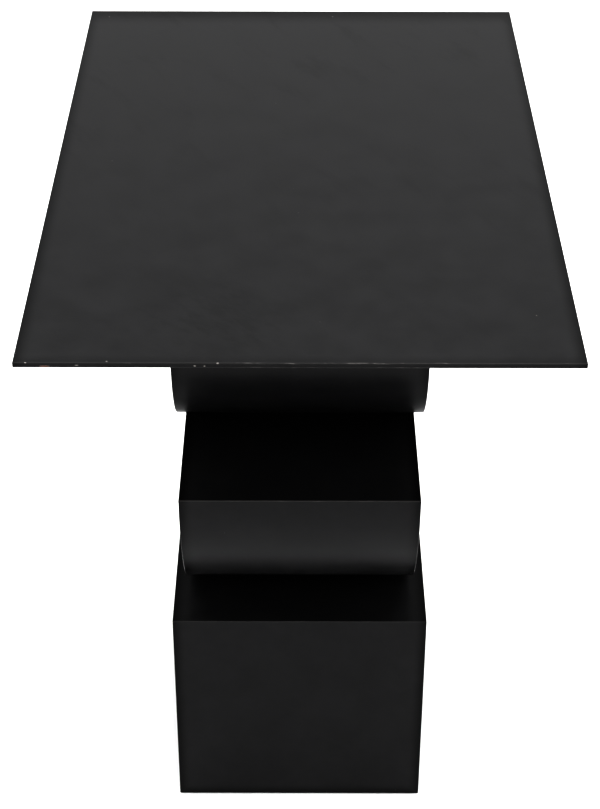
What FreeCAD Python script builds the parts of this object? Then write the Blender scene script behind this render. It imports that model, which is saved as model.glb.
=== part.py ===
import FreeCAD, Part
import math
import os

import Sketcher

# A steel table: a thin flat top on one pedestal made of three closed sheet-steel forms stacked on
# each other. From the floor up they are a box, a half cylinder with its flat side up (the block)
# and a full cylinder lying on its side (the drum).
#
# Millimetres, +Z up. The origin is on the floor under the centre of the top. X runs across the
# table and along the axes of the block and the drum, Y runs along the table, front is -Y. The
# table is symmetric about both.

DIMENSIONS = [
    ("top_width", 500, "table top across"),
    ("top_length", 775, "table top along"),
    ("top_thickness", 5, "table top plate"),
    ("drum_diameter", 282, "outside of the drum"),
    ("drum_length", 265, "drum along its axis"),
    ("block_radius", 205, "outside of the half cylinder"),
    ("block_length", 250, "half cylinder along its axis"),
    ("box_width", 282, "box across"),
    ("box_depth", 310, "box along"),
    ("box_height", 266, "box walls and lid"),
    ("sheet_thickness", 3, "sheet of all three forms"),
    ("edge_radius", 0.8, "ground outer edges"),
    ("foot_gap", 2, "walls above the floor"),
    ("saddle_length", 200, "saddles and clamp bars across"),
    ("saddle_inner", 14, "inner edge of every saddle from the centre line"),
    ("saddle_stock", 30, "bar height before the round is cut into it"),
    ("lower_saddle_outer", 70, "outer edge of the saddles under the block"),
    ("middle_saddle_outer", 42, "outer edge of the saddles under the drum"),
    ("top_saddle_outer", 75, "outer edge of the saddles over the drum"),
    ("bolt_across", 70, "clamp bolt from the centre line, across"),
    ("bolt_along", 30, "clamp bolt from the centre line, along"),
    ("bolt_radius", 5, "M10 clamp bolt"),
    ("bolt_reach", 240, "clamp bolt below its head"),
    ("head_radius", 9.24, "hexagon corner radius, 16 across flats"),
    ("head_height", 6.4, "clamp bolt head"),
    ("washer_radius", 10, "clamp washer outside"),
    ("washer_height", 2, "clamp washer"),
    ("hole_radius", 5.5, "clearance hole for a clamp bolt"),
    ("tapped_radius", 5.05, "tapped hole for a clamp bolt"),
    ("sleeve_radius", 9, "outside of the spacer tube round a clamp bolt"),
    ("bar_width", 30, "clamp bars and anchor blocks along"),
    ("bar_thickness", 6, "clamp bar under the box lid"),
    ("anchor_length", 40, "anchor block across"),
    ("anchor_level", 109, "top of the anchor blocks below the drum axis"),
    ("rib_hole_radius", 45, "lightening holes in the block's rib"),
    ("rib_hole_across", 85, "lightening holes from the centre line"),
    ("rib_hole_depth", 75, "lightening holes below the block's flat top"),
    ("drum_rib_hole_radius", 60, "lightening hole in the drum's rib"),
    ("flange_width", 25, "strips inside the box's bottom edge"),
    ("cover_recess", 3, "cover above the walls' lower edge"),
    ("cover_gap", 0.5, "cover to walls"),
    ("ballast_gap", 5, "ballast to flanges"),
    ("ballast_thickness", 25, "ballast plate"),
    ("cover_screw_radius", 2.5, "M5 countersunk screw"),
    ("cover_screw_head", 5, "M5 countersunk head radius"),
    ("cover_screw_sink", 2.5, "M5 countersunk head height"),
    ("cover_screw_reach", 11, "M5 screw with its head"),
    ("cover_nut_radius", 4.62, "hexagon corner radius, 8 across flats"),
    ("cover_nut_height", 4, "weld nut on a flange"),
    ("cover_screw_side", 90, "screws in the front and back strips, across"),
    ("cover_screw_end", 60, "screws in the left and right strips, along"),
    ("ballast_screw_radius", 3, "M6 countersunk screw"),
    ("ballast_screw_head", 6, "M6 countersunk head radius"),
    ("ballast_screw_sink", 3, "M6 countersunk head height"),
    ("ballast_screw_reach", 20, "M6 screw with its head"),
    ("ballast_screw_across", 80, "M6 screws from the centre line, across"),
    ("ballast_screw_along", 90, "M6 screws from the centre line, along"),
    ("thread_gap", 0.05, "screw to its thread"),
    ("screw_hole_gap", 0.25, "M5 screw to its clearance hole"),
    ("pad_radius", 20, "foot pad"),
    ("pad_across", 110, "foot pad from the centre line, across"),
    ("pad_along", 122, "foot pad from the centre line, along"),
]

doc = FreeCAD.newDocument("Table")
sheet = doc.addObject("Spreadsheet::Sheet", "Dimensions")
nodes = []


class Size:
    """A length as a number, with the sheet expression that drives it."""

    def __init__(self, value, text):
        self.value = value
        self.text = text

    def joined(self, sign, other, value):
        return Size(value, "(%s %s %s)" % (self.text, sign, other.text))

    def __add__(self, other):
        return self.joined("+", as_size(other), self.value + as_size(other).value)

    def __sub__(self, other):
        return self.joined("-", as_size(other), self.value - as_size(other).value)

    def __mul__(self, other):
        return self.joined("*", as_size(other), self.value * as_size(other).value)

    def __truediv__(self, other):
        return self.joined("/", as_size(other), self.value / as_size(other).value)

    def __neg__(self):
        return Size(-self.value, "(-%s)" % self.text)


def as_size(number):
    return number if isinstance(number, Size) else Size(number, "(%s)" % number)


def fill_sheet():
    """Writes the driving dimensions and returns them as sizes by name."""
    sizes = {}
    for row, (alias, value, meaning) in enumerate(DIMENSIONS, start=1):
        cell = "B%d" % row
        sheet.set("A%d" % row, meaning)
        sheet.set(cell, str(value))
        sheet.setAlias(cell, alias)
        sizes[alias] = Size(value, "Dimensions." + alias)
    doc.recompute()
    return sizes


D = fill_sheet()
ZERO = as_size(0)
SHEET = D["sheet_thickness"]

# Levels, from the floor up.
WALL_FOOT = D["foot_gap"]
COVER_FOOT = WALL_FOOT + D["cover_recess"]
COVER_TOP = COVER_FOOT + SHEET
FLANGE_TOP = COVER_TOP + SHEET
BOX_TOP = WALL_FOOT + D["box_height"]
BLOCK_TOP = BOX_TOP + D["block_radius"]
DRUM_RADIUS = D["drum_diameter"] / 2
DRUM_AXIS = BLOCK_TOP + DRUM_RADIUS
DRUM_TOP = DRUM_AXIS + DRUM_RADIUS

# The four clamp bolts stand on the corners of this rectangle, and so do their holes.
BOLT_CORNERS = [(x, y) for x in (D["bolt_across"], -D["bolt_across"])
                for y in (D["bolt_along"], -D["bolt_along"])]
# The two bolts of a bar that lies on the +Y side.
BAR_BOLTS = [(x, D["bolt_along"]) for x in (D["bolt_across"], -D["bolt_across"])]
AROUND_Z = FreeCAD.Rotation(FreeCAD.Vector(0, 0, 1), 180)
AROUND_X = FreeCAD.Rotation(FreeCAD.Vector(1, 0, 0), 180)
ALONG_X = FreeCAD.Rotation(FreeCAD.Vector(0, 1, 0), 90)
UPRIGHT = FreeCAD.Rotation()


# ---- document helpers ----

def keep(item):
    """Marks a document object as a finished piece of the table."""
    nodes.append(item)
    return item


def bind(item, name, size):
    item.setExpression(name, size.text)


def place(item, across=ZERO, along=ZERO, up=ZERO, turn=UPRIGHT):
    item.Placement = FreeCAD.Placement(FreeCAD.Vector(), turn)
    for name, size in (("x", across), ("y", along), ("z", up)):
        bind(item, "Placement.Base." + name, size)


def new_sketch(body, name, role):
    plane = next(item for item in body.Origin.OriginFeatures if item.Role == role)
    sketch = body.newObject("Sketcher::SketchObject", name)
    sketch.AttachmentSupport = [(plane, "")]
    sketch.MapMode = "FlatFace"
    return sketch


def hold(sketch, kind, references, size):
    """Adds a dimension to a sketch and lets the sheet drive it."""
    index = sketch.addConstraint(Sketcher.Constraint(kind, *references, size.value))
    sketch.setExpression("Constraints[%d]" % index, size.text)


def hold_point(sketch, geometry, point, across, up):
    """Dimensions a point from the sketch's origin, or puts it on an axis where the size is 0."""
    for kind, axis, size in (("DistanceX", -2, across), ("DistanceY", -1, up)):
        if size.value == 0:
            sketch.addConstraint(Sketcher.Constraint("PointOnObject", geometry, point, axis))
        elif size.value > 0:
            hold(sketch, kind, (-1, 1, geometry, point), size)
        else:
            hold(sketch, kind, (geometry, point, -1, 1), -size)


def add_rectangle(sketch, width, height, across=ZERO, up=ZERO):
    """A rectangle with its centre at the given place."""
    left = across - width / 2
    low = up - height / 2
    right = left.value + width.value
    high = low.value + height.value
    corners = [(left.value, low.value), (right, low.value), (right, high), (left.value, high)]
    points = [FreeCAD.Vector(x, y, 0) for x, y in corners]
    lines = [Part.LineSegment(points[side], points[(side + 1) % 4]) for side in range(4)]
    first = sketch.addGeometry(lines, False)[0]
    for side in range(4):
        joint = (first + side, 2, first + (side + 1) % 4, 1)
        sketch.addConstraint(Sketcher.Constraint("Coincident", *joint))
        direction = "Vertical" if side % 2 else "Horizontal"
        sketch.addConstraint(Sketcher.Constraint(direction, first + side))
    hold_point(sketch, first, 1, left, low)
    hold(sketch, "DistanceX", (first, 1, first, 2), width)
    hold(sketch, "DistanceY", (first + 1, 1, first + 1, 2), height)


def add_circle(sketch, radius, across=ZERO, up=ZERO):
    centre = FreeCAD.Vector(across.value, up.value, 0)
    index = sketch.addGeometry(Part.Circle(centre, FreeCAD.Vector(0, 0, 1), radius.value), False)
    hold_point(sketch, index, 3, across, up)
    hold(sketch, "Radius", (index,), radius)


def pad(body, sketch, length):
    """Pads a sketch evenly to both sides of its plane."""
    feature = body.newObject("PartDesign::Pad", sketch.Name + "_pad")
    feature.Profile = sketch
    feature.SideType = "Symmetric"
    bind(feature, "Length", length)


def pocket(body, sketch, sides="One side"):
    """Cuts a sketch through everything, below its plane or on both sides of it."""
    feature = body.newObject("PartDesign::Pocket", sketch.Name + "_pocket")
    feature.Profile = sketch
    feature.Type = "ThroughAll"
    feature.SideType = sides


def drill(body, radius, centres):
    """Drills holes straight down from the body's own XY plane."""
    sketch = new_sketch(body, body.Name + "_holes", "XY_Plane")
    for across, along in centres:
        add_circle(sketch, radius, across, along)
    pocket(body, sketch)


def round_edges(body, wanted):
    """Rounds the edges of a body whose midpoints pass a test."""
    doc.recompute()
    base = body.Tip
    names = []
    for number, edge in enumerate(base.Shape.Edges, start=1):
        middle = edge.valueAt((edge.FirstParameter + edge.LastParameter) / 2)
        if wanted(middle):
            names.append("Edge%d" % number)
    feature = body.newObject("PartDesign::Fillet", body.Name + "_edges")
    feature.Base = (base, names)
    bind(feature, "Radius", D["edge_radius"])


def close(first, second):
    return math.isclose(first, second, abs_tol=0.01)


# ---- kinds of piece ----

def plate(label, role, width, height, thickness, holes=(), hole_radius=ZERO):
    """A flat rectangular plate centred on its own origin, with round holes."""
    body = keep(doc.addObject("PartDesign::Body", label))
    sketch = new_sketch(body, label + "_outline", role)
    add_rectangle(sketch, width, height)
    for across, up in holes:
        add_circle(sketch, hole_radius, across, up)
    pad(body, sketch, thickness)
    return body


def round_piece(label, radius, length, inner=None):
    """A disc or a rolled tube with its axis along X, centred on its own origin."""
    body = keep(doc.addObject("PartDesign::Body", label))
    sketch = new_sketch(body, label + "_outline", "YZ_Plane")
    add_circle(sketch, radius)
    if inner is not None:
        add_circle(sketch, inner)
    pad(body, sketch, length)
    return body


def cut_to_half(body):
    """Takes off everything above the underside of the block's flat plate."""
    sketch = new_sketch(body, body.Name + "_upper_half", "YZ_Plane")
    height = D["block_radius"] * 2
    add_rectangle(sketch, D["block_radius"] * 3, height, ZERO, height / 2 - SHEET)
    pocket(body, sketch, "Symmetric")


def saddle_pair(name, radius, outer, axis_height, upside_down=False):
    """Two bars that fill the wedge between a flat face and a round one, before and behind."""
    width = outer - D["saddle_inner"]
    stock = D["saddle_stock"]
    for end in ("front", "back"):
        body = keep(doc.addObject("PartDesign::Body", "%s_saddle_%s" % (name, end)))
        section = new_sketch(body, body.Name + "_stock", "YZ_Plane")
        add_rectangle(section, width, stock, D["saddle_inner"] + width / 2, stock / 2 - radius)
        pad(body, section, D["saddle_length"])
        seat = new_sketch(body, body.Name + "_seat", "YZ_Plane")
        add_circle(seat, radius)
        pocket(body, seat, "Symmetric")
        if upside_down:
            turn = AROUND_X if end == "front" else AROUND_X.multiply(AROUND_Z)
        else:
            drill(body, D["hole_radius"], BAR_BOLTS)
            turn = AROUND_Z if end == "front" else UPRIGHT
        place(body, up=axis_height, turn=turn)


def solid(kind, name, sizes, across=ZERO, along=ZERO, up=ZERO, turn=UPRIGHT):
    """A placed Part primitive whose sizes come from the sheet."""
    item = doc.addObject("Part::" + kind, name)
    for prop, size in sizes.items():
        bind(item, prop, size)
    place(item, across, along, up, turn)
    return item


def cylinder(name, radius, height, across, along, up, turn=UPRIGHT):
    return solid("Cylinder", name, {"Radius": radius, "Height": height}, across, along, up, turn)


def hexagon(name, radius, height, across, along, up):
    item = solid("Prism", name, {"Circumradius": radius, "Height": height}, across, along, up)
    item.Polygon = 6
    return item


def boolean(kind, name, base, tool):
    item = doc.addObject("Part::" + kind, name)
    item.Base = base
    item.Tool = tool
    return item


def drilled(name, blank, holes):
    """A Part solid with holes cut through it."""
    tools = doc.addObject("Part::Compound", name + "_tools")
    tools.Links = holes
    return boolean("Cut", name, blank, tools)


def group(label, items):
    """Identical pieces as one node of separate solids."""
    item = keep(doc.addObject("Part::Compound", label))
    item.Links = items
    return item


def countersunk(name, radius, head, sink, reach, across, along, gap=ZERO):
    """A countersunk screw standing on its head at the cover's underside, or its hole."""
    cone_sizes = {"Radius1": head, "Radius2": radius, "Height": sink}
    cone = solid("Cone", name + "_head", cone_sizes, across, along, COVER_FOOT)
    shank = cylinder(name + "_shank", radius + gap, reach, across, along, COVER_FOOT)
    return boolean("Fuse", name, cone, shank)


# ---- the table top and its saddles ----

def make_top():
    top = plate("top_plate", "XY_Plane", D["top_width"], D["top_length"], D["top_thickness"])
    round_edges(top, lambda middle: True)
    place(top, up=DRUM_TOP + D["top_thickness"] / 2)
    saddle_pair("top", DRUM_RADIUS, D["top_saddle_outer"], DRUM_AXIS, upside_down=True)


# ---- the drum ----

def make_drum():
    half = D["drum_length"].value / 2
    inner = DRUM_RADIUS - SHEET
    skin = round_piece("drum_skin", DRUM_RADIUS, D["drum_length"], inner)
    drill(skin, D["hole_radius"], BOLT_CORNERS)
    round_edges(skin, lambda middle: close(abs(middle.x), half)
                and close(math.hypot(middle.y, middle.z), DRUM_RADIUS.value))
    place(skin, up=DRUM_AXIS)

    end_place = (D["drum_length"] - SHEET) / 2
    for label, across in (("drum_left_end", -end_place), ("drum_right_end", end_place)):
        place(round_piece(label, inner, SHEET), across=across, up=DRUM_AXIS)
    rib = round_piece("drum_rib", inner, SHEET, D["drum_rib_hole_radius"])
    place(rib, up=DRUM_AXIS)
    make_anchors(inner)


def make_anchors(inner):
    """Tapped blocks shaped to the inside of the drum, one over each clamp bolt."""
    length, width = D["anchor_length"], D["bar_width"]
    height = inner - D["anchor_level"]
    for across, along in BOLT_CORNERS:
        end = "front" if along.value < 0 else "back"
        side = "left" if across.value < 0 else "right"
        label = "anchor_%s_%s" % (end, side)
        blank_sizes = {"Length": length, "Width": width, "Height": height}
        blank = solid("Box", label + "_stock", blank_sizes, across - length / 2,
                      along - width / 2, DRUM_AXIS - inner)
        core = cylinder(label + "_core", inner, length, across - length / 2, ZERO, DRUM_AXIS,
                        ALONG_X)
        fitted = boolean("Common", label + "_fitted", blank, core)
        hole = cylinder(label + "_hole", D["tapped_radius"], height, across, along,
                        DRUM_AXIS - inner)
        keep(drilled(label, fitted, [hole]))


# ---- the half-cylinder block ----

def make_block():
    half = D["block_length"].value / 2
    radius = D["block_radius"]
    inner = radius - SHEET
    top = plate("block_top", "XY_Plane", D["block_length"], radius * 2, SHEET,
                BOLT_CORNERS, D["hole_radius"])
    upper_face = SHEET.value / 2
    round_edges(top, lambda middle: close(middle.z, upper_face)
                and (close(abs(middle.x), half) or close(abs(middle.y), radius.value)))
    place(top, up=BLOCK_TOP - SHEET / 2)

    skin = round_piece("block_skin", radius, D["block_length"], inner)
    cut_to_half(skin)
    drill(skin, D["hole_radius"], BOLT_CORNERS)
    round_edges(skin, lambda middle: close(abs(middle.x), half)
                and close(math.hypot(middle.y, middle.z), radius.value))
    place(skin, up=BLOCK_TOP)

    end_place = (D["block_length"] - SHEET) / 2
    for label, across in (("block_left_end", -end_place), ("block_right_end", end_place)):
        end = round_piece(label, inner, SHEET)
        cut_to_half(end)
        place(end, across=across, up=BLOCK_TOP)
    make_block_rib(inner)
    make_sleeves(inner)
    saddle_pair("middle", DRUM_RADIUS, D["middle_saddle_outer"], DRUM_AXIS)


def make_block_rib(inner):
    rib = round_piece("block_rib", inner, SHEET)
    cut_to_half(rib)
    holes = new_sketch(rib, "block_rib_lightening", "YZ_Plane")
    for along in (D["rib_hole_across"], -D["rib_hole_across"]):
        add_circle(holes, D["rib_hole_radius"], along, -D["rib_hole_depth"])
    pocket(rib, holes, "Symmetric")
    place(rib, up=BLOCK_TOP)


def make_sleeves(inner):
    """Spacer tubes from the round skin up to the flat plate, one round each clamp bolt."""
    foot = BLOCK_TOP - inner
    height = inner - SHEET
    length = D["saddle_length"]
    sleeves = []
    for number, (across, along) in enumerate(BOLT_CORNERS, start=1):
        name = "clamp_sleeve_%d" % number
        blank = cylinder(name + "_stock", D["sleeve_radius"], height, across, along, foot)
        core = cylinder(name + "_core", inner, length, -length / 2, ZERO, BLOCK_TOP, ALONG_X)
        fitted = boolean("Common", name + "_fitted", blank, core)
        bore = cylinder(name + "_bore", D["hole_radius"], height, across, along, foot)
        sleeves.append(drilled(name, fitted, [bore]))
    group("clamp_sleeves", sleeves)


# ---- the box ----

def make_box():
    width, depth = D["box_width"], D["box_depth"]
    wall_height = D["box_height"] - SHEET
    wall_centre = WALL_FOOT + wall_height / 2
    half_width, half_depth, half_sheet = width.value / 2, depth.value / 2, SHEET.value / 2

    top = plate("box_top", "XY_Plane", width, depth, SHEET, BOLT_CORNERS, D["hole_radius"])
    round_edges(top, lambda middle: not close(middle.z, -half_sheet)
                and (close(abs(middle.x), half_width) or close(abs(middle.y), half_depth)))
    place(top, up=BOX_TOP - SHEET / 2)

    # The front and back walls run the full width, and their two outer upright edges are ground.
    wall_place = (depth - SHEET) / 2
    for label, along, side in (("box_front", -wall_place, -1), ("box_back", wall_place, 1)):
        wall = plate(label, "XZ_Plane", width, wall_height, SHEET)
        round_edges(wall, lambda middle: close(middle.y, side * half_sheet)
                    and close(abs(middle.x), half_width))
        place(wall, along=along, up=wall_centre)

    wall_place = (width - SHEET) / 2
    for label, across in (("box_left", -wall_place), ("box_right", wall_place)):
        wall = plate(label, "YZ_Plane", depth - SHEET * 2, wall_height, SHEET)
        place(wall, across=across, up=wall_centre)

    bar_level = BOX_TOP - SHEET - D["bar_thickness"] / 2
    for label, along in (("clamp_bar_front", -D["bolt_along"]), ("clamp_bar_back", D["bolt_along"])):
        centres = [(across, ZERO) for across, _ in BAR_BOLTS]
        bar = plate(label, "XY_Plane", D["saddle_length"], D["bar_width"], D["bar_thickness"],
                    centres, D["hole_radius"])
        place(bar, along=along, up=bar_level)
    saddle_pair("lower", D["block_radius"], D["lower_saddle_outer"], BLOCK_TOP)


def cover_screw_places():
    """The places of the eight cover screws, four in the end strips and four in the side strips."""
    end_line = D["box_depth"] / 2 - SHEET - D["flange_width"] / 2
    side_line = D["box_width"] / 2 - SHEET - D["flange_width"] / 2
    ends = [(D["cover_screw_side"] * x, end_line * y) for x in (-1, 1) for y in (-1, 1)]
    sides = [(side_line * x, D["cover_screw_end"] * y) for x in (-1, 1) for y in (-1, 1)]
    return ends, sides


def make_flanges():
    """Strips welded inside the bottom edge of the walls, which the cover screws into."""
    strip = D["flange_width"]
    level = COVER_TOP + SHEET / 2
    end_line = D["box_depth"] / 2 - SHEET - strip / 2
    side_line = D["box_width"] / 2 - SHEET - strip / 2
    hole = D["cover_screw_radius"] + D["screw_hole_gap"]
    end_length = D["box_width"] - SHEET * 2
    side_length = D["box_depth"] - SHEET * 2 - strip * 2
    for label, along in (("flange_front", -end_line), ("flange_back", end_line)):
        centres = [(D["cover_screw_side"] * side, ZERO) for side in (-1, 1)]
        flange = plate(label, "XY_Plane", end_length, strip, SHEET, centres, hole)
        place(flange, along=along, up=level)
    for label, across in (("flange_left", -side_line), ("flange_right", side_line)):
        centres = [(ZERO, D["cover_screw_end"] * side) for side in (-1, 1)]
        flange = plate(label, "XY_Plane", strip, side_length, SHEET, centres, hole)
        place(flange, across=across, up=level)


def make_cover():
    """The removable bottom plate, the weight that lies on it, their screws and the pads."""
    margin = (SHEET + D["cover_gap"]) * 2
    cover_width = D["box_width"] - margin
    cover_depth = D["box_depth"] - margin
    blank_sizes = {"Length": cover_width, "Width": cover_depth, "Height": SHEET}
    cover_blank = solid("Box", "base_cover_stock", blank_sizes, -cover_width / 2,
                        -cover_depth / 2, COVER_FOOT)

    rim = (SHEET + D["flange_width"] + D["ballast_gap"]) * 2
    ballast_width = D["box_width"] - rim
    ballast_depth = D["box_depth"] - rim
    ballast_sizes = {"Length": ballast_width, "Width": ballast_depth,
                     "Height": D["ballast_thickness"]}
    ballast_blank = solid("Box", "ballast_plate_stock", ballast_sizes, -ballast_width / 2,
                          -ballast_depth / 2, COVER_TOP)

    cover_holes, screws, nuts = [], [], []
    ends, sides = cover_screw_places()
    for number, (across, along) in enumerate(ends + sides, start=1):
        shape = (D["cover_screw_radius"], D["cover_screw_head"], D["cover_screw_sink"],
                 D["cover_screw_reach"], across, along)
        screws.append(countersunk("cover_screw_%d" % number, *shape))
        cover_holes.append(countersunk("cover_screw_hole_%d" % number, *shape,
                                       D["screw_hole_gap"]))
        name = "cover_nut_%d" % number
        body = hexagon(name + "_body", D["cover_nut_radius"], D["cover_nut_height"], across,
                       along, FLANGE_TOP)
        thread = cylinder(name + "_thread", D["cover_screw_radius"] + D["thread_gap"],
                          D["cover_nut_height"], across, along, FLANGE_TOP)
        nuts.append(drilled(name, body, [thread]))
    group("cover_screws", screws)
    group("cover_nuts", nuts)

    threads, screws = [], []
    corners = [(D["ballast_screw_across"] * x, D["ballast_screw_along"] * y)
               for x in (-1, 1) for y in (-1, 1)]
    for number, (across, along) in enumerate(corners, start=1):
        shape = (D["ballast_screw_radius"], D["ballast_screw_head"], D["ballast_screw_sink"],
                 D["ballast_screw_reach"], across, along)
        screws.append(countersunk("ballast_screw_%d" % number, *shape))
        cover_holes.append(countersunk("ballast_screw_hole_%d" % number, *shape,
                                       D["thread_gap"]))
        threads.append(cylinder("ballast_thread_%d" % number,
                                D["ballast_screw_radius"] + D["thread_gap"],
                                D["ballast_screw_reach"], across, along, COVER_TOP))
    group("ballast_screws", screws)
    keep(drilled("ballast_plate", ballast_blank, threads))
    keep(drilled("base_cover", cover_blank, cover_holes))

    pads = [cylinder("foot_pad_%s_%s" % (end, side), D["pad_radius"], COVER_FOOT,
                     D["pad_across"] * x, D["pad_along"] * y, ZERO)
            for side, x in (("left", -1), ("right", 1)) for end, y in (("front", -1), ("back", 1))]
    group("foot_pads", pads)


# ---- the clamp bolts ----

def make_clamp():
    """Four long bolts from under the box's lid, through the block and into the drum's anchors."""
    bearing = BOX_TOP - SHEET - D["bar_thickness"]
    head_top = bearing - D["washer_height"]
    head_foot = head_top - D["head_height"]
    bolts, washers = [], []
    for number, (across, along) in enumerate(BOLT_CORNERS, start=1):
        name = "clamp_bolt_%d" % number
        head = hexagon(name + "_head", D["head_radius"], D["head_height"], across, along,
                       head_foot)
        shank = cylinder(name + "_shank", D["bolt_radius"], D["bolt_reach"] + D["head_height"],
                         across, along, head_foot)
        bolts.append(boolean("Fuse", name, head, shank))
        name = "clamp_washer_%d" % number
        disc = cylinder(name + "_disc", D["washer_radius"], D["washer_height"], across, along,
                        head_top)
        hole = cylinder(name + "_hole", D["hole_radius"], D["washer_height"], across, along,
                        head_top)
        washers.append(drilled(name, disc, [hole]))
    group("clamp_bolts", bolts)
    group("clamp_washers", washers)


# ---- checks and files ----

def check_document():
    """Stops on a failed feature, a pocket that cuts nothing, or a bad shape."""
    for item in doc.Objects:
        if "Invalid" in item.State or "Error" in item.State:
            raise RuntimeError("failed feature: %s" % item.Name)
        if item.TypeId == "PartDesign::Pocket":
            if item.Shape.Volume > item.BaseFeature.Shape.Volume - 1:
                raise RuntimeError("pocket cuts nothing: %s" % item.Name)
    for item in nodes:
        if item.Shape.isNull() or not item.Shape.isValid() or not item.Shape.Solids:
            raise RuntimeError("bad shape: %s" % item.Label)


def write_parts():
    os.makedirs("parts", exist_ok=True)
    for item in nodes:
        item.Shape.exportStep("parts/%s.step" % item.Label)
        print("%-22s %2d solids %10.0f mm3" % (item.Label, len(item.Shape.Solids),
                                               item.Shape.Volume))


make_top()
make_drum()
make_block()
make_box()
make_flanges()
make_cover()
make_clamp()
doc.recompute()
check_document()
write_parts()
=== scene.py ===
import math
import random

import bmesh
import bpy
from mathutils import Matrix, Vector


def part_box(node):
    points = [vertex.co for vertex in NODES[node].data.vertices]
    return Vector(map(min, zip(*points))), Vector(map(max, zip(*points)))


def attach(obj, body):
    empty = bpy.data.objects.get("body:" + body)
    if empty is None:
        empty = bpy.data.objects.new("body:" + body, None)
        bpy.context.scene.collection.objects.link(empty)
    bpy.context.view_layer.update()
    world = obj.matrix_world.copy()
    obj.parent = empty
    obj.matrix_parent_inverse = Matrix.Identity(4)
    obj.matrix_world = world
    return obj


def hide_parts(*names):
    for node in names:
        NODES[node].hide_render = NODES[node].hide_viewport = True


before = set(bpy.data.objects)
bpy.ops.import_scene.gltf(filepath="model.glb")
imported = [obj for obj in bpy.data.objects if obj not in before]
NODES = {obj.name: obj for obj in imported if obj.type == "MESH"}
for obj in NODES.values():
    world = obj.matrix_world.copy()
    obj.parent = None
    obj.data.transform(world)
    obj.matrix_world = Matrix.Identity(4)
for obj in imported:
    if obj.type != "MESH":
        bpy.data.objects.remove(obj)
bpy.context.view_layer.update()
MM = 0.001


# ---- camera, floor and light ----

CAMERA_AWAY = 1795.5 * MM      # in front of the table's centre
CAMERA_HEIGHT = 1673.4 * MM
CAMERA_DOWN = math.radians(34.19)
CAMERA_ROLL = math.radians(0.12)
CAMERA_LENS = 86.12            # on a 36 mm sensor

FLOOR_SIZE = 120.0
FLOOR_WHITE = 0.93

SKY_LOW = 0.86                 # brightness of the room near the horizon
SKY_HIGH = 0.75                # and from 37 degrees up
SKY_LEAN = 0.20                # how much brighter the right side is
LAMPS = [                      # name, place, target, size in metres, watts
    ("overhead", (0, 0, 3.2), (0, 0, 0), (3.2, 3.2), 90),
    ("left", (-2.6, -0.6, 1.3), (0, 0, 0.4), (1.6, 2.0), 18),
    ("right", (2.6, -0.6, 1.3), (0, 0, 0.4), (1.6, 2.0), 27),
    ("front", (0.3, -2.6, 3.0), (0, -0.3, 0.6), (1.6, 0.5), 26),
]
NOT_MIRRORED = ("left", "right")   # low side lamps that would burn out in the top's sheen
EXPOSURE = -0.2


def add(tree, kind, values=None, **settings):
    """A shader node with its settings, and with values or links for its inputs."""
    item = tree.nodes.new("ShaderNode" + kind)
    for name, value in settings.items():
        setattr(item, name, value)
    for socket, value in (values or {}).items():
        if isinstance(value, bpy.types.NodeSocket):
            tree.links.new(value, item.inputs[socket])
        else:
            item.inputs[socket].default_value = value
    return item


def maths(tree, operation, *values):
    inputs = dict(enumerate(values))
    return add(tree, "Math", inputs, operation=operation).outputs["Value"]


def ranged(tree, value, low, high, to_low=0.0, to_high=1.0):
    """A value eased from one range to another, and held at its ends."""
    limits = {"Value": value, "From Min": low, "From Max": high,
              "To Min": to_low, "To Max": to_high}
    return add(tree, "MapRange", limits, interpolation_type="SMOOTHSTEP").outputs["Result"]


def make_camera():
    data = bpy.data.cameras.new("camera")
    data.lens = CAMERA_LENS
    data.sensor_width = 36
    data.dof.use_dof = False
    camera = bpy.data.objects.new("camera", data)
    place = Matrix.Translation((0, -CAMERA_AWAY, CAMERA_HEIGHT))
    tilt = Matrix.Rotation(math.pi / 2 - CAMERA_DOWN, 4, "X")
    camera.matrix_world = place @ tilt @ Matrix.Rotation(CAMERA_ROLL, 4, "Z")
    bpy.context.scene.collection.objects.link(camera)
    bpy.context.scene.camera = camera


def new_object(name, vertices, faces):
    mesh = bpy.data.meshes.new(name)
    mesh.from_pydata(vertices, [], faces)
    mesh.update()
    item = bpy.data.objects.new(name, mesh)
    bpy.context.scene.collection.objects.link(item)
    return item


def make_floor():
    half = FLOOR_SIZE / 2
    corners = [(-half, -half, 0), (half, -half, 0), (half, half, 0), (-half, half, 0)]
    floor = new_object("floor", corners, [(0, 1, 2, 3)])
    material = bpy.data.materials.new("floor_paper")
    material.use_nodes = True
    shader = material.node_tree.nodes["Principled BSDF"]
    shader.inputs["Base Color"].default_value = (FLOOR_WHITE, FLOOR_WHITE, FLOOR_WHITE, 1)
    shader.inputs["Roughness"].default_value = 0.9
    shader.inputs["Specular IOR Level"].default_value = 0.1
    floor.data.materials.append(material)


def area_light(name, place, target, size, power):
    data = bpy.data.lights.new(name, "AREA")
    data.shape = "RECTANGLE"
    data.size, data.size_y = size
    data.energy = power
    light = bpy.data.objects.new(name, data)
    light.location = place
    direction = Vector(target) - Vector(place)
    light.rotation_euler = direction.to_track_quat("-Z", "Y").to_euler()
    light.visible_glossy = name not in NOT_MIRRORED
    bpy.context.scene.collection.objects.link(light)


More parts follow.
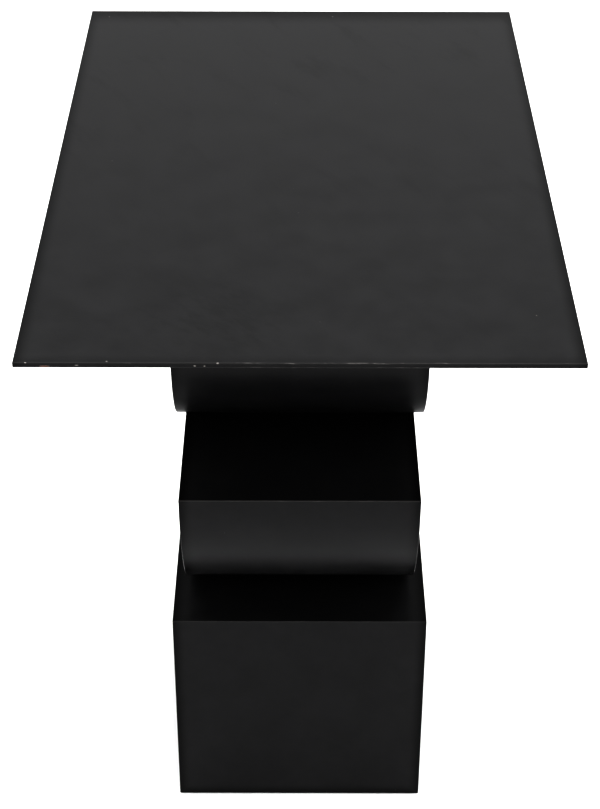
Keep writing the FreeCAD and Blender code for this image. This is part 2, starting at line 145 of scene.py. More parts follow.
def make_world():
    """A white room that is brighter near the horizon and a little brighter on the right."""
    world = bpy.data.worlds.new("studio")
    world.use_nodes = True
    tree = world.node_tree
    background = tree.nodes["Background"]
    background.inputs["Color"].default_value = (1, 1, 1, 1)
    direction = add(tree, "TexCoord").outputs["Generated"]
    parts = add(tree, "SeparateXYZ", {"Vector": direction})
    height = ranged(tree, parts.outputs["Z"], 0.3, 0.6, SKY_LOW, SKY_HIGH)
    lean = maths(tree, "MULTIPLY_ADD", parts.outputs["X"], SKY_LEAN, 1.0)
    tree.links.new(maths(tree, "MULTIPLY", height, lean), background.inputs["Strength"])
    bpy.context.scene.world = world


def make_lights():
    make_world()
    for lamp in LAMPS:
        area_light(*lamp)
    view = bpy.context.scene.view_settings
    view.view_transform = "Standard"
    view.look = "Very High Contrast"
    view.exposure = EXPOSURE


# ---- shader building blocks ----

def new_material(name):
    material = bpy.data.materials.new(name)
    material.use_nodes = True
    tree = material.node_tree
    return material, tree, tree.nodes["Principled BSDF"]


def surface_place(tree):
    return add(tree, "TexCoord").outputs["Object"]


def noise(tree, where, size, detail=2.0, roughness=0.5, turn=None, stretch=(1, 1, 1)):
    """Noise whose features are about size metres wide, turned and then stretched."""
    if turn:
        values = {"Vector": where, "Rotation": turn, "Scale": stretch}
        where = add(tree, "Mapping", values, vector_type="TEXTURE").outputs["Vector"]
    values = {"Vector": where, "Scale": 1 / size, "Detail": detail, "Roughness": roughness}
    return add(tree, "TexNoise", values).outputs["Fac"]


def mixed(tree, factor, first, second):
    """Colour first where factor is 0 and second where it is 1."""
    item = add(tree, "Mix", {0: factor, 6: first, 7: second}, data_type="RGBA")
    return item.outputs[2]


def bumped(tree, layers):
    """The normal of several heights on top of each other: (height, depth in metres)."""
    normal = None
    for height, depth in layers:
        values = {"Height": height, "Strength": 1.0, "Distance": depth}
        if normal is not None:
            values["Normal"] = normal
        normal = add(tree, "Bump", values).outputs["Normal"]
    return normal


def specks(tree, where, spacing, radius, share):
    """Small round dots, scattered about spacing apart, on a share of the places."""
    cells = add(tree, "TexVoronoi", {"Vector": where, "Scale": 1 / spacing})
    dot = ranged(tree, cells.outputs["Distance"], radius / spacing, 0.6 * radius / spacing)
    chance = add(tree, "SeparateXYZ", {"Vector": cells.outputs["Color"]}).outputs["X"]
    return maths(tree, "MULTIPLY", dot, ranged(tree, chance, 1 - share, 1.0))


def rim_distance(tree, where, sides):
    """How far a point is from the nearest of the given limits: (axis, sign, limit)."""
    parts = add(tree, "SeparateXYZ", {"Vector": where})
    nearest = None
    for axis, sign, limit in sides:
        gap = maths(tree, "MULTIPLY_ADD", parts.outputs[axis], -sign, sign * limit)
        nearest = gap if nearest is None else maths(tree, "MINIMUM", nearest, gap)
    return nearest


# ---- paint ----

BLACK = (1.0, 1.0, 1.03)       # tint of the black paint, times its lightness
PAINT_DUST = (0.16, 0.155, 0.15, 1)
PRIMER = (0.10, 0.058, 0.045, 1)
CHIPPED_STEEL = (0.22, 0.21, 0.20, 1)
EDGE_SHADE_REACH = 14 * MM            # how far in from the outer edges the paint is darkened: painted shade
EDGE_SHADE_START = -4 * MM           # where that painted shade would be full, outside the form
EDGE_SHADE_SHARE = 0.06              # share of the lightness left where the painted shade is full
NEAR_EDGE_SHADE = (EDGE_SHADE_REACH, 0.7)   # painted shade at the near side: depth, and share of the lightness left at the side
# painted shade at the far side: depth, and share of the lightness left at the side
FAR_EDGE_SHADE = (3 * EDGE_SHADE_REACH, 0.1)
HANDLED = {"drum": 0.4, "block": 0.5, "box": 0.6, "other": 0.2, "top": 1.0}
SMUDGE_PLACE = (-75 * MM, -320 * MM, 760 * MM)
SMUDGE_REACH = 110 * MM
SMUDGE_TURN = (0, 0, math.radians(-43))
SMUDGE_CORE = 0.2              # share of the reach where the smudge is full
SMUDGE_STREAKS = 9 * MM
SMUDGE_COVER = (0.42, 0.66, 0.0, 0.22)      # noise from, to; cover from, to
SMUDGED_COAT = (0.004, 0.004, 0.004, 1)
# lighter grey along arrises: worn coat, and a painted highlight
WORN_AND_HIGHLIGHT_COAT = (0.16, 0.153, 0.147, 1)
WEAR_AND_HIGHLIGHT_MIDDLE = 35 * MM        # where the near edge's wear and painted highlight are strongest, from the centre line
WEAR_AND_HIGHLIGHT_REACH = 130 * MM
WEAR_AND_HIGHLIGHT_BAND = (1.5 * MM, 0.7 * MM)     # from an arris: where the wear and painted highlight start, and are full
STREAK_SIZE = 2.2 * MM
FLECKED = (0.61, 0.76)         # noise values over which flecks of wear and painted highlight set in
BUSY_MIDDLE = 0.09             # added to the noise in the middle
LOWER_WEAR_AND_HIGHLIGHT = 0.6               # wear and painted highlight of the lower arris, as a share of the upper one's
NEAR_WEAR_AND_HIGHLIGHT = (0.06, 0.50)       # least and most cover of the worn coat and painted highlight on the near edge
LID_WEAR_AND_HIGHLIGHT = {"block": 0.16, "box": 0.08}     # least cover of the worn coat and painted highlight on the lids' arrises
FLAKE_SIZE = 4 * MM
FLAKED = (0.755, 0.775)        # noise values over which the rim is chipped
CHIP_GLOSS = 0.2               # added to the roughness
RIM_BAND = (1.9 * MM, 1.1 * MM)
RAGGED_SIZE = 1.5 * MM         # of the wobble in the outlines of chips
RAGGED_DEPTH = 1 * MM
TOP_CHIPS = [   # in mm: across, back from the near edge, down, radius; then aspect, rusty
    (-238.5, 0.5, 0.2, 0.9, 1.3, False),
    (-222, 0.0, 3.6, 1.2, 4.5, True),
    (-194, 0.0, 2.4, 0.7, 3.0, False),
    (-168, 2.6, 0.0, 0.9, 1.2, False),
    (-91.5, 0.0, 2.9, 0.8, 1.7, False),
    (-83, 0.0, 3.1, 0.8, 1.3, False),
    (-71.5, 0.3, 0.2, 1.1, 1.0, False),
    (213, 80, 0.0, 0.7, 1.0, False),
    (-228, 757, 0.0, 0.9, 1.2, False),
    (38, 759, 0.0, 0.9, 1.0, False),
]

# Feature sizes of the coat, and depths of those that stand out from it.
PEEL_SIZE, PEEL_DEPTH = 2.6 * MM, 0.022 * MM
PEBBLE_SIZE, PEBBLE_DEPTH = 0.7 * MM, 0.004 * MM
WAVE_SIZE, WAVE_DEPTH = 120 * MM, 0.09 * MM
HAIR_SIZE, HAIR_DEPTH = 0.9 * MM, -0.004 * MM
DUST_RADIUS, DUST_DEPTH = 0.55 * MM, 0.10 * MM
DUST_SPACING = 24 * MM
MOTTLE_SIZE = 45 * MM
WIPE_SIZE = 38 * MM
WIPE_TURN = (0, 0, math.radians(-62))
HAIR_TURN = (0, 0, math.radians(27))
USUAL = (0.25, 0.75)           # where most noise values lie
WIPED = (0.52, 0.76)           # noise values over which a wipe mark sets in
SCRATCHED = (0.74, 0.80)       # noise values over which a hairline sets in
GLOSS_SPREAD = 0.035           # change of roughness over the mottle, either way
MOTTLED = (0.88, 1.12)         # change of lightness over the mottle
WIPE_SHADE, WIPE_GLOSS = 0.07, 0.06         # lightness lost and roughness added by wipes
DUST_SHARE, DUST_GLOSS = 0.5, 0.3           # share of places with dust; roughness added
PAINT_IOR = 1.45


def powder_coat(name, lightness, roughness, specular, sides, handled, shaded_end_sides=()):
    """Satin black powder coat: orange peel, uneven gloss, dust, and wipe marks if handled.

    Painted shade darkens the paint towards the given sides, and by its own share towards
    each end side, which is (side, depth, share left at the side).
    """
    material, tree, shader = new_material(name)
    where = surface_place(tree)
    peel = noise(tree, where, PEEL_SIZE, 1.5)
    pebble = noise(tree, where, PEBBLE_SIZE, 1.0)
    waves = noise(tree, where, WAVE_SIZE, 1.0)
    mottle = noise(tree, where, MOTTLE_SIZE, 6.0, 0.70)
    wipes = noise(tree, where, WIPE_SIZE, 5.0, 0.6, WIPE_TURN, (3, 0.8, 1))
    hairs = noise(tree, where, HAIR_SIZE, 1.0, 0.5, HAIR_TURN, (90, 1, 1))

    shade = ranged(tree, mottle, *USUAL, *MOTTLED)
    wiped = ranged(tree, wipes, *WIPED, 1.0, 1.0 - WIPE_SHADE * handled)
    shade = maths(tree, "MULTIPLY", shade, wiped)
    # painted shade: the paint darker towards the outer edges
    if sides:
        edge = rim_distance(tree, where, sides)
        edge_shade = ranged(tree, edge, EDGE_SHADE_START, EDGE_SHADE_REACH, EDGE_SHADE_SHARE, 1.0)
        shade = maths(tree, "MULTIPLY", shade, edge_shade)
    # painted shade towards each end side, by its own share
    for side, depth, share in shaded_end_sides:
        edge = rim_distance(tree, where, [side])
        shade = maths(tree, "MULTIPLY", shade, ranged(tree, edge, 0.0, depth, share, 1.0))
    shade = maths(tree, "MULTIPLY", shade, lightness)
    colour = add(tree, "VectorMath", {"Vector": BLACK, "Scale": shade}, operation="SCALE")
    dust = specks(tree, where, DUST_SPACING, DUST_RADIUS, DUST_SHARE)
    colour = mixed(tree, dust, colour.outputs["Vector"], PAINT_DUST)

    spread = (roughness - GLOSS_SPREAD, roughness + GLOSS_SPREAD)
    gloss = ranged(tree, mottle, *USUAL, *spread)
    rougher = ranged(tree, wipes, *WIPED, 0.0, WIPE_GLOSS * handled)
    gloss = maths(tree, "ADD", gloss, rougher)
    gloss = maths(tree, "MULTIPLY_ADD", dust, DUST_GLOSS, gloss)
    hair = ranged(tree, hairs, *SCRATCHED)
    layers = [(waves, WAVE_DEPTH), (peel, PEEL_DEPTH), (pebble, PEBBLE_DEPTH),
              (hair, HAIR_DEPTH * handled), (dust, DUST_DEPTH)]
    shader.inputs["IOR"].default_value = PAINT_IOR
    shader.inputs["Specular IOR Level"].default_value = specular
    tree.links.new(gloss, shader.inputs["Roughness"])
    tree.links.new(colour, shader.inputs["Base Color"])
    tree.links.new(bumped(tree, layers), shader.inputs["Normal"])
    return material


def chipped_spot(tree, where, place, radius, aspect):
    """A ragged spot round a place, drawn out along X by its aspect."""
    offset = add(tree, "VectorMath", {0: where, 1: place}, operation="SUBTRACT")
    even = {0: offset.outputs["Vector"], 1: (1 / aspect, 1, 1)}
    even = add(tree, "VectorMath", even, operation="MULTIPLY").outputs["Vector"]
    gap = add(tree, "VectorMath", {0: even}, operation="LENGTH").outputs["Value"]
    return ranged(tree, gap, radius, 0.6 * radius)


def arris_wear_and_highlight(tree, where, line, least, most, middle=0.0):
    """Cover of the worn coat and painted highlight along an arris parallel to X, with flecks
    about its middle.
    """
    section = add(tree, "VectorMath", {0: where, 1: (0, 1, 1)}, operation="MULTIPLY")
    values = {0: section.outputs["Vector"], 1: (0, *line)}
    gap = add(tree, "VectorMath", values, operation="DISTANCE").outputs["Value"]
    band = ranged(tree, gap, *WEAR_AND_HIGHLIGHT_BAND)
    along = add(tree, "SeparateXYZ", {"Vector": where}).outputs["X"]
    aside = maths(tree, "ABSOLUTE", maths(tree, "SUBTRACT", along, middle))
    busy = ranged(tree, aside, WEAR_AND_HIGHLIGHT_REACH, 0.5 * WEAR_AND_HIGHLIGHT_REACH, 0.0, BUSY_MIDDLE)
    streaks = noise(tree, where, STREAK_SIZE, 4.0, 0.65, (0, 0, 0), (6, 1, 1))
    flecks = ranged(tree, maths(tree, "ADD", streaks, busy), *FLECKED, least, most)
    return maths(tree, "MULTIPLY", band, flecks)


def wear_and_highlight_lid(material, along, height, least):
    """A lighter coat along the front and back arrises of a lid: worn coat and a painted
    highlight.
    """
    tree = material.node_tree
    base = tree.nodes["Principled BSDF"].inputs["Base Color"]
    mirrored = add(tree, "VectorMath", {0: surface_place(tree)}, operation="ABSOLUTE")
    line = (along, height)
    wear_and_highlight = arris_wear_and_highlight(tree, mirrored.outputs["Vector"], line, least, 2 * least)
    tree.links.new(mixed(tree, wear_and_highlight, base.links[0].from_socket, WORN_AND_HIGHLIGHT_COAT), base)


def wear_and_highlight_top(material, low, high):
    """A hand smudge, sparse chips round the rim, known chips, and a near edge with worn coat
    and a painted highlight.
    """
    tree = material.node_tree
    shader = tree.nodes["Principled BSDF"]
    where = surface_place(tree)
    painted = shader.inputs["Base Color"].links[0].from_socket
    gloss = shader.inputs["Roughness"].links[0].from_socket

    from_smudge = add(tree, "VectorMath", {0: where, 1: SMUDGE_PLACE}, operation="DISTANCE")
    near = (SMUDGE_REACH, SMUDGE_CORE * SMUDGE_REACH)
    smudge = ranged(tree, from_smudge.outputs["Value"], *near)
    rubs = noise(tree, where, SMUDGE_STREAKS, 4.0, 0.6, SMUDGE_TURN, (2.2, 1, 1))
    smudge = maths(tree, "MULTIPLY", smudge, ranged(tree, rubs, *SMUDGE_COVER))
    painted = mixed(tree, smudge, painted, SMUDGED_COAT)

    # worn coat and a painted highlight along the near edge's upper and lower arrises
    upper = arris_wear_and_highlight(tree, where, (low.y, high.z), *NEAR_WEAR_AND_HIGHLIGHT, WEAR_AND_HIGHLIGHT_MIDDLE)
    lower = arris_wear_and_highlight(tree, where, (low.y, low.z), *NEAR_WEAR_AND_HIGHLIGHT, WEAR_AND_HIGHLIGHT_MIDDLE)
    wear_and_highlight = maths(tree, "MAXIMUM", upper, maths(tree, "MULTIPLY", lower, LOWER_WEAR_AND_HIGHLIGHT))
    painted = mixed(tree, wear_and_highlight, painted, WORN_AND_HIGHLIGHT_COAT)

    rim = rim_distance(tree, where, span_sides(low, high, "XY"))
    flakes = ranged(tree, noise(tree, where, FLAKE_SIZE, 3.0, 0.6), *FLAKED)
    chips = maths(tree, "MULTIPLY", ranged(tree, rim, *RIM_BAND), flakes)
    ragged = add(tree, "TexNoise", {"Vector": where, "Scale": 1 / RAGGED_SIZE})
    stir = {0: ragged.outputs["Color"], 1: (RAGGED_DEPTH,) * 3, 2: where}
    stirred = add(tree, "VectorMath", stir, operation="MULTIPLY_ADD").outputs["Vector"]
    rusty = None
    middle = Vector((RAGGED_DEPTH / 2,) * 3)    # the wobble shifts every place by this much
    for across, inset, drop, radius, aspect, rust in TOP_CHIPS:
        place = Vector((across * MM, low.y + inset * MM, high.z - drop * MM)) + middle
        spot = chipped_spot(tree, stirred, place, radius * MM, aspect)
        chips = maths(tree, "MAXIMUM", chips, spot)
        if rust:
            rusty = spot if rusty is None else maths(tree, "MAXIMUM", rusty, spot)
    bare = mixed(tree, rusty, CHIPPED_STEEL, PRIMER)
    tree.links.new(mixed(tree, chips, painted, bare), shader.inputs["Base Color"])
    rougher = maths(tree, "MULTIPLY_ADD", chips, CHIP_GLOSS, gloss)
    tree.links.new(rougher, shader.inputs["Roughness"])
    metal = maths(tree, "MULTIPLY", chips, maths(tree, "SUBTRACT", 1.0, rusty))
    tree.links.new(metal, shader.inputs["Metallic"])


# ---- bare metal and rubber ----

MILL_GREY = (0.33, 0.32, 0.31, 1)
MILL_SCALE = (0.17, 0.175, 0.19, 1)
RUST_BLOOM = (0.20, 0.10, 0.05, 1)
ZINC_GREY = (0.56, 0.57, 0.58, 1)
ZINC_YELLOW = (0.50, 0.49, 0.42, 1)
RUBBER_BLACK = (0.022, 0.022, 0.023, 1)
RUBBER_DUST = (0.09, 0.085, 0.08, 1)


def mill_steel(name):
    """Unpainted plate: rolling lines, blue-grey scale in patches, a little rust bloom."""
    material, tree, shader = new_material(name)
    where = surface_place(tree)
    lines = noise(tree, where, 1.2 * MM, 2.0, 0.5, (0, 0, 0), (25, 1, 1))
    scale = noise(tree, where, 30 * MM, 6.0, 0.65)
    bloom = noise(tree, where, 9 * MM, 4.0, 0.7)
    colour = mixed(tree, ranged(tree, scale, 0.42, 0.60), MILL_GREY, MILL_SCALE)
    colour = mixed(tree, ranged(tree, bloom, 0.66, 0.78), colour, RUST_BLOOM)
    gloss = ranged(tree, lines, 0.3, 0.7, 0.36, 0.54)
    shader.inputs["Metallic"].default_value = 1.0
    tree.links.new(colour, shader.inputs["Base Color"])
    tree.links.new(gloss, shader.inputs["Roughness"])
    layers = [(scale, 0.03 * MM), (lines, 0.01 * MM)]
    tree.links.new(bumped(tree, layers), shader.inputs["Normal"])
    return material


def zinc_plate(name):
    """Zinc plating: pale metal with faint yellow patches and a soft uneven gloss."""
    material, tree, shader = new_material(name)
    where = surface_place(tree)
    cloud = noise(tree, where, 6 * MM, 3.0, 0.6)
    grain = noise(tree, where, 0.5 * MM, 2.0)
    colour = mixed(tree, ranged(tree, cloud, 0.35, 0.7), ZINC_GREY, ZINC_YELLOW)
    shader.inputs["Metallic"].default_value = 1.0
    tree.links.new(colour, shader.inputs["Base Color"])
    tree.links.new(ranged(tree, cloud, 0.3, 0.7, 0.28, 0.42), shader.inputs["Roughness"])
    layers = [(cloud, 0.02 * MM), (grain, 0.004 * MM)]
    tree.links.new(bumped(tree, layers), shader.inputs["Normal"])
    return material


def pad_rubber(name):
    """Matt black rubber with a moulded grain and dust where it rubs the floor."""
    material, tree, shader = new_material(name)
    where = surface_place(tree)
    grain = noise(tree, where, 0.6 * MM, 3.0, 0.6)
    smear = noise(tree, where, 8 * MM, 4.0, 0.6)
    dusty = ranged(tree, smear, 0.45, 0.75, 0.0, 0.5)
    colour = mixed(tree, dusty, RUBBER_BLACK, RUBBER_DUST)
    shader.inputs["Specular IOR Level"].default_value = 0.35
    tree.links.new(colour, shader.inputs["Base Color"])
    tree.links.new(ranged(tree, smear, 0.3, 0.7, 0.62, 0.82), shader.inputs["Roughness"])
    layers = [(smear, 0.05 * MM), (grain, 0.03 * MM)]
    tree.links.new(bumped(tree, layers), shader.inputs["Normal"])
    return material


# ---- finishes of the CAD nodes ----

BODY_LIGHTNESS = 0.016
TOP_LIGHTNESS = 0.017
BODY_ROUGHNESS = 0.33
TOP_ROUGHNESS = 0.33
BODY_SPECULAR = 0.18
TOP_SPECULAR = 0.21

ROUND_NODES = ("drum_skin", "block_skin", "drum_rib", "clamp_sleeves", "clamp_bolts",
               "clamp_washers", "cover_screws", "ballast_screws", "foot_pads")


def span_sides(low, high, axes):
    """The two outer limits of a box along each of the given axes."""
    sides = []
    for axis in axes:
        index = "XYZ".index(axis)
        sides += [(axis, 1, high[index]), (axis, -1, low[index])]
    return sides


def make_body_paints():
    """The paint of each painted form, by the first word of its nodes' names."""
    body = (BODY_LIGHTNESS, BODY_ROUGHNESS, BODY_SPECULAR)
    # painted shade darkens the drum's and block's ends, and the box's ends and foot
    drum = span_sides(*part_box("drum_skin"), "X")
    block = span_sides(*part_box("block_skin"), "X")
    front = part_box("box_front")
    box = span_sides(*front, "X") + [("Z", -1, front[0].z)]
    paints = {
        "drum": powder_coat("drum_paint", *body, drum, HANDLED["drum"]),
        "block": powder_coat("block_paint", *body, block, HANDLED["block"]),
        "box": powder_coat("box_paint", *body, box, HANDLED["box"]),
        "other": powder_coat("saddle_paint", *body, [], HANDLED["other"]),
    }
    # worn coat and a painted highlight along the lids' arrises
    for form, wall in (("block", "block_skin"), ("box", "box_back")):
        place = (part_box(wall)[1].y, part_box(form + "_top")[1].z)
        wear_and_highlight_lid(paints[form], *place, LID_WEAR_AND_HIGHLIGHT[form])
    return paints


def make_top_paint():
    low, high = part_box("top_plate")
    # painted shade towards all four edges of the top, least at the near one
    ends = [(("Y", -1, low.y), *NEAR_EDGE_SHADE), (("Y", 1, high.y), *FAR_EDGE_SHADE)]
    look = (TOP_LIGHTNESS, TOP_ROUGHNESS, TOP_SPECULAR)
    sides = span_sides(low, high, "X")
    paint = powder_coat("top_paint", *look, sides, HANDLED["top"], ends)
    wear_and_highlight_top(paint, low, high)
    return paint


def dress_nodes(finishes, body_paints):
    """Gives each CAD node the material of its slot, and flat plates even shading."""
    for name, node in NODES.items():
        slot = node.data.materials[0].name
        if slot == "body_paint":
            material = body_paints.get(name.split("_")[0], body_paints["other"])
        else:
            material = finishes[slot]
        node.data.materials.clear()
        node.data.materials.append(material)
        if name not in ROUND_NODES:
            even = node.modifiers.new("even_shading", "WEIGHTED_NORMAL")
            even.mode = "FACE_AREA"
            even.keep_sharp = True


# ---- small pieces ----

SHARP_CORNER = math.radians(35)


def small_piece(name, slot, material, vertices, faces):
    """A piece of detail that rides with the table, smooth except at its corners."""
    item = new_object(name, vertices, faces)
    shape = bmesh.new()
    shape.from_mesh(item.data)
    bmesh.ops.recalc_face_normals(shape, faces=shape.faces)
    shape.to_mesh(item.data)
    shape.free()
    item.data.materials.append(material)
    item.data.shade_smooth()
    item.data.set_sharp_from_angle(angle=SHARP_CORNER)
    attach(item, "root")
    return item


def joined(parts):
    """Several (vertices, faces) pairs as one."""
    vertices, faces = [], []
    for part_vertices, part_faces in parts:
        shift = len(vertices)
        vertices += part_vertices
        faces += [tuple(corner + shift for corner in face) for face in part_faces]
    return vertices, faces


def swept(section_at, stations, closed=False):
    """Joins equal sections into a skin, with flat ends unless the path is closed."""
    sections = [section_at(index) for index in range(stations)]
    size = len(sections[0])
    vertices = [point for section in sections for point in section]
    faces = []
    for index in range(stations if closed else stations - 1):
        here = index * size
        there = (index + 1) % stations * size
        for side in range(size):
            turn = (side + 1) % size
            faces.append((here + side, here + turn, there + turn, there + side))
    if not closed:
        faces.append(tuple(reversed(range(size))))
        faces.append(tuple((stations - 1) * size + side for side in range(size)))
    return vertices, faces


# ---- fillet welds at the saddles ----

BEAD_PITCH = 3.6 * MM          # one ripple of a weld
BEAD_STEPS = 5                 # sections to a ripple
BEAD_ARC = 6                   # spans over a bead's face
TOP_LEG = 3.2 * MM
MIDDLE_LEG = 2.2 * MM
LOWER_LEG = 3.0 * MM
BEAD_REACH = 0.92              # these six are shares of the leg or of the bead's reach
BEAD_SWELL = 0.10
BEAD_SWAY = 0.05
BEAD_CROWN = 0.16
BEAD_LEAN = 0.35
BEAD_SUNK = 0.3


def weld_bead(start, run, length, first, second, leg, seed):
    """A fillet weld in the corner between two faces, with crescent ripples."""
    chance = random.Random(seed)
    start, run, first, second = (Vector(item) for item in (start, run, first, second))
    outward = (first + second).normalized()
    stations = int(length / BEAD_PITCH) * BEAD_STEPS + 1
    wobble = [chance.uniform(-1, 1) for _ in range(stations // BEAD_STEPS + 2)]

    def section_at(index):
        ripple, part = divmod(index, BEAD_STEPS)
        part /= BEAD_STEPS
        swell = abs(math.sin(math.pi * part))
        sway = wobble[ripple] * (1 - part) + wobble[ripple + 1] * part
        from_end = min(index, stations - 1 - index) / BEAD_STEPS
        taper = math.sqrt(min(1.0, 0.15 + from_end))
        reach = leg * (BEAD_REACH + BEAD_SWELL * swell + BEAD_SWAY * sway) * taper
        centre = start + run * (length * index / (stations - 1))
        points = [centre - outward * leg * BEAD_SUNK]
        for step in range(BEAD_ARC + 1):
            t = step / BEAD_ARC
            crown = math.sin(math.pi * t)
            point = centre + (first * (1 - t) + second * t) * reach
            bulge = outward * crown * BEAD_CROWN * reach
            points.append(point + bulge + run * crown * BEAD_LEAN * leg)
        return points

    return swept(section_at, stations)


def bead_pair(length, along, height, first, second, leg, seed):
    """The same bead behind and in front, for directions given behind."""
    parts = []
    for sign in (1, -1):
        start = (-length / 2, along * sign, height)
        ways = [(way[0], way[1] * sign, way[2]) for way in (first, second)]
        parts.append(weld_bead(start, (1, 0, 0), length, *ways, leg, seed + sign))
    return joined(parts)


def make_welds(paint):
    for kind, leg, upward in (("top", TOP_LEG, -1), ("middle", MIDDLE_LEG, 1),
                              ("lower", LOWER_LEG, 1)):
        low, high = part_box(kind + "_saddle_back")
        seat = low.z if upward > 0 else high.z
        length = high.x - low.x - 2 * leg
        bead = bead_pair(length, high.y, seat, (0, 1, 0), (0, 0, upward), leg, len(kind))
        small_piece("weld_%s_saddles" % kind, "body_paint", paint, *bead)

    drum_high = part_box("drum_skin")[1]
    low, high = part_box("top_saddle_back")
    slope = math.asin(high.y / drum_high.y)
    down = (0, math.cos(slope), -math.sin(slope))
    length = high.x - low.x - 2 * TOP_LEG
    bead = bead_pair(length, high.y, low.z, (0, 0, 1), down, TOP_LEG, 31)
    small_piece("weld_saddles_to_drum", "body_paint", paint, *bead)


# ---- ground welds that close the three forms ----

SEAM_WIDTH = 3.0 * MM
SEAM_HEIGHT = 0.22 * MM
SEAM_PROFILE = [(-0.5, -0.4), (-0.28, 0.7), (0.0, 1.0), (0.28, 0.7), (0.5, -0.4)]
ARC_POINTS = 96


def ground_seam(points, out, width=SEAM_WIDTH, closed=False):
    """A weld ground almost flush: a low ridge that follows points on a face."""
    out = Vector(out)
    count = len(points)

    def section_at(index):
        before = points[index - 1] if closed or index else points[0]
        after = points[(index + 1) % count] if closed or index < count - 1 else points[-1]
        aside = (Vector(after) - Vector(before)).normalized().cross(out)
        centre = Vector(points[index])
        return [centre + aside * across * width + out * up * SEAM_HEIGHT
                for across, up in SEAM_PROFILE]

    return swept(section_at, count, closed)


def arc(across, centre_z, radius, first, last, count):
    """Points on an arc round the X axis, with angles from +Y upwards."""
    points = []
    for step in range(count):
        angle = first + (last - first) * step / (count - 1)
        points.append((across, radius * math.cos(angle), centre_z + radius * math.sin(angle)))
    return points


def drum_seams(sheet):
    low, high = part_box("drum_skin")
    axis = (low.z + high.z) / 2
    last = 2 * math.pi * (1 - 1 / ARC_POINTS)
    parts = []
    for side in (-1, 1):
        ring = arc(side * high.x, axis, high.y - sheet, 0, last, ARC_POINTS)
        parts.append(ground_seam(ring, (side, 0, 0), closed=True))
    rolled = [(x, high.y, axis) for x in (low.x + sheet, high.x - sheet)]
    parts.append(ground_seam(rolled, (0, 1, 0), SEAM_WIDTH * 1.5))
    return parts


def block_seams(sheet):
    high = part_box("block_skin")[1]
    flat = high.z + sheet
    radius = high.y - sheet
    dip = math.asin(sheet / radius)
    parts = []
    for side in (-1, 1):
        out = (side, 0, 0)
        half = arc(side * high.x, flat, radius, -dip, dip - math.pi, ARC_POINTS // 2)
        line = [(side * high.x, y, high.z) for y in (-radius, radius)]
        parts += [ground_seam(half, out), ground_seam(line, out)]
    return parts


def box_seams(sheet):
    low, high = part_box("box_front")
    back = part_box("box_back")[1].y
    parts = []
    for side in (-1, 1):
        for end in (-1, 1):
            line = [(side * high.x, end * (back - sheet), z) for z in (low.z + sheet, high.z)]
            parts.append(ground_seam(line, (side, 0, 0)))
    return parts


def make_seams(paints):
    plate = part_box("block_top")
    sheet = plate[1].z - plate[0].z
    for form, seams in (("drum", drum_seams), ("block", block_seams), ("box", box_seams)):
        parts = joined(seams(sheet))
        small_piece("ground_seams_" + form, "body_paint", paints[form], *parts)


# ---- screws and pads underneath ----

AROUND = 36                    # points round a turned piece
COVER_SCREW = dict(head=5 * MM, shank=2.5 * MM, sink=2.5 * MM, key=1.5 * MM)
BALLAST_SCREW = dict(head=6 * MM, shank=3 * MM, sink=3 * MM, key=2 * MM)
COVER_SCREW_SIDE = 90 * MM     # from the centre line, in the front and back strips
COVER_SCREW_END = 60 * MM      # from the centre line, in the left and right strips
PAD_RADIUS = 20 * MM
PAD_GROOVES = (14.2 * MM, 7.8 * MM)
GROOVE_DEPTH = 0.8 * MM
GROOVE_TOP = 0.9 * MM          # half its width at the pad's face
GROOVE_BOTTOM = 0.6 * MM
SOCKET_DEPTH = 0.8             # as a share of the countersink's depth
THREAD_PITCH = 0.32            # these three are shares of the shank's radius
THREAD_ROOT = 0.84
THREAD_CREST = 0.99


def ring_stack(rings, across, along):
    """A turned solid from (height, radius) rings, where a radius may depend on the angle."""
    vertices = []
    for height, radius in rings:
        for step in range(AROUND):
            angle = 2 * math.pi * step / AROUND
            reach = radius(angle) if callable(radius) else radius
            vertices.append((across + reach * math.cos(angle),
                             along + reach * math.sin(angle), height))
    faces = []
    for ring in range(len(rings) - 1):
        here, there = ring * AROUND, (ring + 1) * AROUND
        for step in range(AROUND):
            turn = (step + 1) % AROUND
            faces.append((here + step, there + step, there + turn, here + turn))
    last = (len(rings) - 1) * AROUND
    faces.append(tuple(range(AROUND)))
    faces.append(tuple(last + step for step in reversed(range(AROUND))))
    return vertices, faces


def hexagonal(flat):
    """The radius of a hexagon by angle, from the distance to its flats."""
    sixth = math.pi / 3
    return lambda angle: flat / math.cos((angle + sixth / 2) % sixth - sixth / 2)


def socket_screw(foot, tip, head, shank, sink, key, across, along):
    """A countersunk screw, head down, with its hexagon socket and its thread."""
    depth = SOCKET_DEPTH * sink
    socket = hexagonal(key)
    rings = [(foot + depth + 0.3 * key, 0.25 * key), (foot + depth, socket),
             (foot + 0.12 * MM, socket), (foot, hexagonal(key * 1.1)),
             (foot, head - 0.25 * MM), (foot + 0.2 * MM, head), (foot + sink, shank)]
    pitch = THREAD_PITCH * shank
    turns = int((tip - foot - sink) / pitch) - 2
    for turn in range(turns):
        height = foot + sink + (turn + 1) * pitch
        rings += [(height, shank * THREAD_ROOT), (height + pitch / 2, shank * THREAD_CREST)]
    rings += [(tip - pitch / 2, shank * 0.9), (tip, shank * 0.72)]
    return ring_stack(rings, across, along)


def four_centres(low, high, inset):
    """The centres of four round things in the corners of a box."""
    return [(x, y) for x in (low.x + inset, high.x - inset)
            for y in (low.y + inset, high.y - inset)]


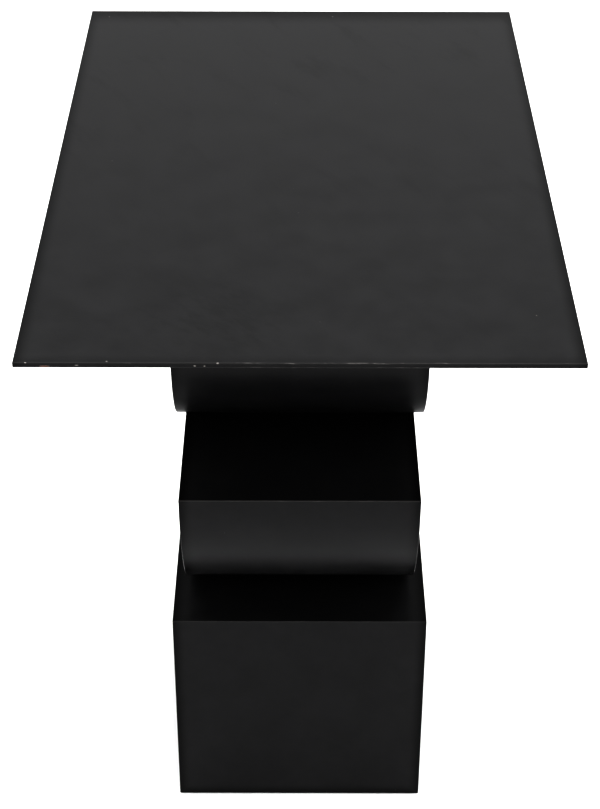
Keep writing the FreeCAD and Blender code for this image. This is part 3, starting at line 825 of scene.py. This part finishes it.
def make_screws(zinc):
    low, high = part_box("cover_screws")
    side = high.x - COVER_SCREW["head"]
    end = high.y - COVER_SCREW["head"]
    places = [(x, y) for x in (-COVER_SCREW_SIDE, COVER_SCREW_SIDE) for y in (-end, end)]
    places += [(x, y) for x in (-side, side) for y in (-COVER_SCREW_END, COVER_SCREW_END)]
    parts = [socket_screw(low.z, high.z, across=x, along=y, **COVER_SCREW) for x, y in places]
    screws = small_piece("socket_screws_cover", "zinc_steel", zinc, *joined(parts))
    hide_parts("cover_screws")

    low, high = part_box("ballast_screws")
    parts = [socket_screw(low.z, high.z, across=x, along=y, **BALLAST_SCREW)
             for x, y in four_centres(low, high, BALLAST_SCREW["head"])]
    screws = small_piece("socket_screws_ballast", "zinc_steel", zinc, *joined(parts))
    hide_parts("ballast_screws")


def make_pads(rubber):
    """Rubber pads with a rounded rim and two grip grooves underneath."""
    low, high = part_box("foot_pads")
    rings = [(high.z, PAD_RADIUS - 0.5 * MM), (high.z - 0.5 * MM, PAD_RADIUS),
             (low.z + 1.0 * MM, PAD_RADIUS), (low.z + 0.3 * MM, PAD_RADIUS - 0.3 * MM),
             (low.z, PAD_RADIUS - 1.0 * MM)]
    for groove in PAD_GROOVES:
        bottom = low.z + GROOVE_DEPTH
        rings += [(low.z, groove + GROOVE_TOP), (bottom, groove + GROOVE_BOTTOM),
                  (bottom, groove - GROOVE_BOTTOM), (low.z, groove - GROOVE_TOP)]
    parts = [ring_stack(rings, x, y) for x, y in four_centres(low, high, PAD_RADIUS)]
    pads = small_piece("grooved_pads", "pad_rubber", rubber, *joined(parts))
    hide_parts("foot_pads")


# ---- the scene ----

make_camera()
make_floor()
make_lights()
body_paints = make_body_paints()
finishes = {
    "top_paint": make_top_paint(),
    "bare_steel": mill_steel("bare_steel_finish"),
    "zinc_steel": zinc_plate("zinc_finish"),
    "pad_rubber": pad_rubber("rubber_finish"),
}
dress_nodes(finishes, body_paints)
make_welds(body_paints["other"])
make_seams(body_paints)
make_screws(finishes["zinc_steel"])
make_pads(finishes["pad_rubber"])
